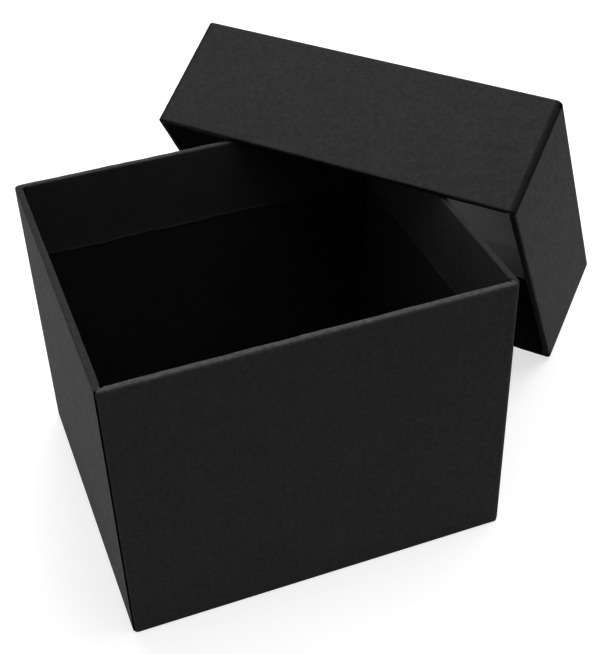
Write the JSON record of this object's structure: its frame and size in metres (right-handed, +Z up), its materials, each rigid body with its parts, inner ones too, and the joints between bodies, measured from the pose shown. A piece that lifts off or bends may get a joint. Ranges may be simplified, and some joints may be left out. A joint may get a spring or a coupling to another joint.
{
  "type": "lidded storage box",
  "caption": "Rigid paper-covered set-up box: an open tray with a deep paper turn-in, and a lift-off lid leaned over the tray's back right corner.",
  "frame": {"origin": "middle of the tray's underside, on the table", "axes": "+X along the tray's front to the right, +Y from the front to the back, +Z up"},
  "size_m": [0.3015, 0.2735, 0.1743],
  "materials": {
    "wrap_paper": "black, finely embossed, dull",
    "lining_paper": "black, smooth, matt",
    "lid_lining_paper": "light grey, smooth, matt",
    "core_board": "dark dyed recycled board",
    "stay_paper": "black gummed kraft"
  },
  "bodies": {
    "tray": {"tray_base_board": "core_board", "tray_front_board": "core_board", "tray_back_board": "core_board", "tray_left_board": "core_board", "tray_right_board": "core_board", "tray_wrap": "wrap_paper", "tray_liner": "lining_paper", "tray_stay_front_left": "stay_paper", "tray_stay_front_right": "stay_paper", "tray_stay_back_left": "stay_paper", "tray_stay_back_right": "stay_paper"},
    "lid": {"lid_top_board": "core_board", "lid_front_board": "core_board", "lid_back_board": "core_board", "lid_left_board": "core_board", "lid_right_board": "core_board", "lid_wrap": "wrap_paper", "lid_liner": "lid_lining_paper", "lid_stay_front_left": "stay_paper", "lid_stay_front_right": "stay_paper", "lid_stay_back_left": "stay_paper", "lid_stay_back_right": "stay_paper"}
  },
  "joints": [
    {"name": "lid_lift", "type": "slide", "parent": "tray", "child": "lid", "axis": [0, 0, 1], "range_m": [0, 0.16]}
  ]
}
